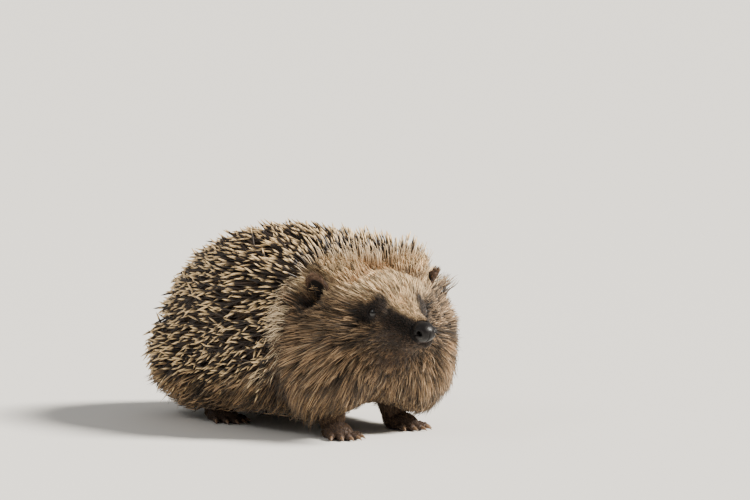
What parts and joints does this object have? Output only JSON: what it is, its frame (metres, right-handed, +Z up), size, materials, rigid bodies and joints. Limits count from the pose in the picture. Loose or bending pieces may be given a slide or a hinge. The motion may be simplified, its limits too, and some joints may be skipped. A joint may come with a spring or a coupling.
{
  "type": "life-size still model of a hedgehog",
  "caption": "Life-size still model of a young European hedgehog standing at rest, spines half raised, head turned slightly to its right.",
  "frame": {"origin": "on the floor under the middle of the animal's bounding box", "axes": "+X towards the nose, +Y to the animal's left, +Z up"},
  "size_m": [0.2194, 0.1178, 0.1085],
  "materials": {
    "spines": "banded brown and cream spines",
    "fur": "coarse grey-brown fur",
    "face_fur": "short tan and brown fur",
    "skin": "dark, finely haired skin",
    "nose": "moist black pad",
    "eye": "glossy black"
  },
  "bodies": {
    "root": {"trunk_spiny": "spines", "trunk_belly": "fur", "neck": "fur", "head": "face_fur", "lower_jaw": "face_fur", "nose": "nose", "ear_left": "skin", "ear_right": "skin", "eye_left": "eye", "eye_right": "eye", "tail": "fur", "leg_front_left": "skin", "foot_front_left": "skin", "leg_front_right": "skin", "foot_front_right": "skin", "leg_hind_left": "skin", "foot_hind_left": "skin", "leg_hind_right": "skin", "foot_hind_right": "skin"}
  },
  "joints": []
}
